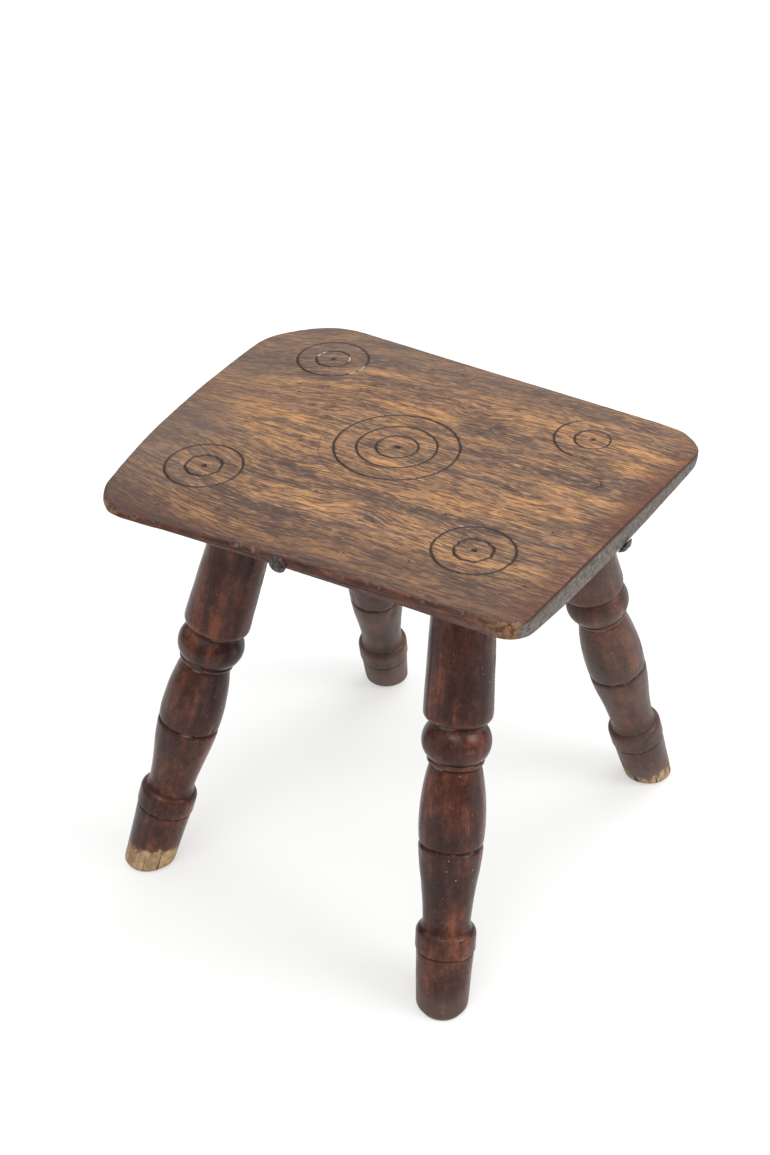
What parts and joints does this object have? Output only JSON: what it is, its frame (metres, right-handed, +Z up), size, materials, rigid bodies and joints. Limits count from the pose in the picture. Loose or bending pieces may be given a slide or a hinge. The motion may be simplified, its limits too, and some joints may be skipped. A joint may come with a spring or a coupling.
{
  "type": "wooden milking stool",
  "caption": "Low wooden stool: flat slab seat with scribed ring motifs, convex underside and splayed turned legs set in blind sockets.",
  "frame": {"origin": "on the floor, under the middle of the stool's overall box", "axes": "+X along the seat's grain to the right as seen from the front, +Y from the front edge to the back, +Z up"},
  "size_m": [0.3207, 0.3167, 0.305],
  "materials": {
    "seat_wood": "worn dark brown stain over coarse open grain, satin where handled",
    "leg_wood": "dark red-brown polish, worn and dusty, bare wood at the feet",
    "wedge_wood": "split, unfinished",
    "stud_iron": "dull dark iron with worn high spots"
  },
  "bodies": {
    "root": {"seat_board": "seat_wood", "leg_front_left": "leg_wood", "leg_front_right": "leg_wood", "leg_back_left": "leg_wood", "leg_back_right": "leg_wood", "wedge_front_left": "wedge_wood", "wedge_front_right": "wedge_wood", "wedge_back_left": "wedge_wood", "wedge_back_right": "wedge_wood", "front_edge_stud": "stud_iron", "right_edge_stud": "stud_iron"}
  },
  "joints": []
}
